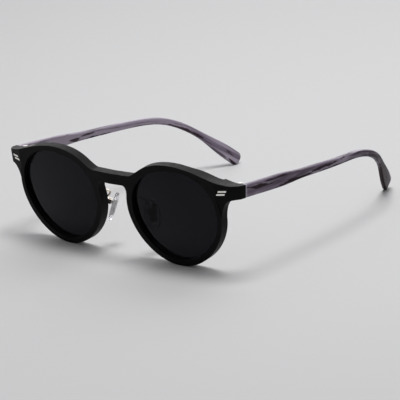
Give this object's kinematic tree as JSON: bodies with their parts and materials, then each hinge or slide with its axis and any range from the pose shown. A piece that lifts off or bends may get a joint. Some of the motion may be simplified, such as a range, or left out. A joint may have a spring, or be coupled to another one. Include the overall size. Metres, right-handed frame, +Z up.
{
  "type": "round sunglasses",
  "caption": "Round sunglasses with a matte black front, dark oval-round lenses, folding marbled grey temples, barrel hinges and rocking nose pads on wire arms.",
  "frame": {"origin": "on the floor under the middle of the whole part: halfway across, and halfway between the front face and the temple tips", "axes": "+X towards the wearer's left, -Y the way the wearer looks, +Z up; the glasses stand open on both rims and both temple tips"},
  "size_m": [0.1422, 0.1473, 0.0485],
  "materials": {
    "matte_black_front": "matte black acetate",
    "dark_lens": "dark grey tint, polished, nearly opaque",
    "silver_trim": "bright metal inlay",
    "hinge_metal": "nickel-plated",
    "marbled_temple": "satin acetate, lilac grey with dark streaks along the temple",
    "core_metal": "plain wire and stamped metal",
    "pad_metal": "polished plated wire",
    "clear_silicone": "clear soft silicone"
  },
  "bodies": {
    "front": {"front_frame": "matte_black_front", "lens_left": "dark_lens", "lens_right": "dark_lens", "upper_accent_bar_left": "silver_trim", "upper_accent_bar_right": "silver_trim", "lower_accent_bar_left": "silver_trim", "lower_accent_bar_right": "silver_trim", "front_hinge_leaf_left": "hinge_metal", "front_hinge_leaf_right": "hinge_metal", "front_leaf_rivets_left": "hinge_metal", "front_leaf_rivets_right": "hinge_metal", "hinge_screw_left": "hinge_metal", "hinge_screw_right": "hinge_metal", "pad_arm_left": "pad_metal", "pad_arm_right": "pad_metal", "pad_box_left": "pad_metal", "pad_box_right": "pad_metal", "pad_screw_left": "pad_metal", "pad_screw_right": "pad_metal"},
    "temple_arm_left": {"temple_left": "marbled_temple", "temple_hinge_leaf_left": "hinge_metal", "temple_leaf_rivets_left": "hinge_metal", "temple_core_wire_left": "core_metal"},
    "temple_arm_right": {"temple_right": "marbled_temple", "temple_hinge_leaf_right": "hinge_metal", "temple_leaf_rivets_right": "hinge_metal", "temple_core_wire_right": "core_metal"},
    "pad_left": {"nose_pad_left": "clear_silicone", "pad_core_left": "core_metal"},
    "pad_right": {"nose_pad_right": "clear_silicone", "pad_core_right": "core_metal"}
  },
  "joints": [
    {"name": "temple_left_fold", "type": "hinge", "parent": "front", "child": "temple_arm_left", "pos_m": [0.06666, -0.06074, 0.03837], "axis": [0, 0.0698, 0.9976], "range_deg": [0, 81]},
    {"name": "temple_right_fold", "type": "hinge", "parent": "front", "child": "temple_arm_right", "pos_m": [-0.06666, -0.06074, 0.03837], "axis": [0, -0.0698, -0.9976], "range_deg": [0, 69]},
    {"name": "nose_pad_left_rock", "type": "hinge", "parent": "front", "child": "pad_left", "pos_m": [0.0135, -0.0605, 0.02145], "axis": [0.5422, 0.8389, -0.0465], "range_deg": [-10, 10]},
    {"name": "nose_pad_right_rock", "type": "hinge", "parent": "front", "child": "pad_right", "pos_m": [-0.0135, -0.0605, 0.02145], "axis": [0.5422, -0.8389, 0.0465], "range_deg": [-10, 10]}
  ]
}
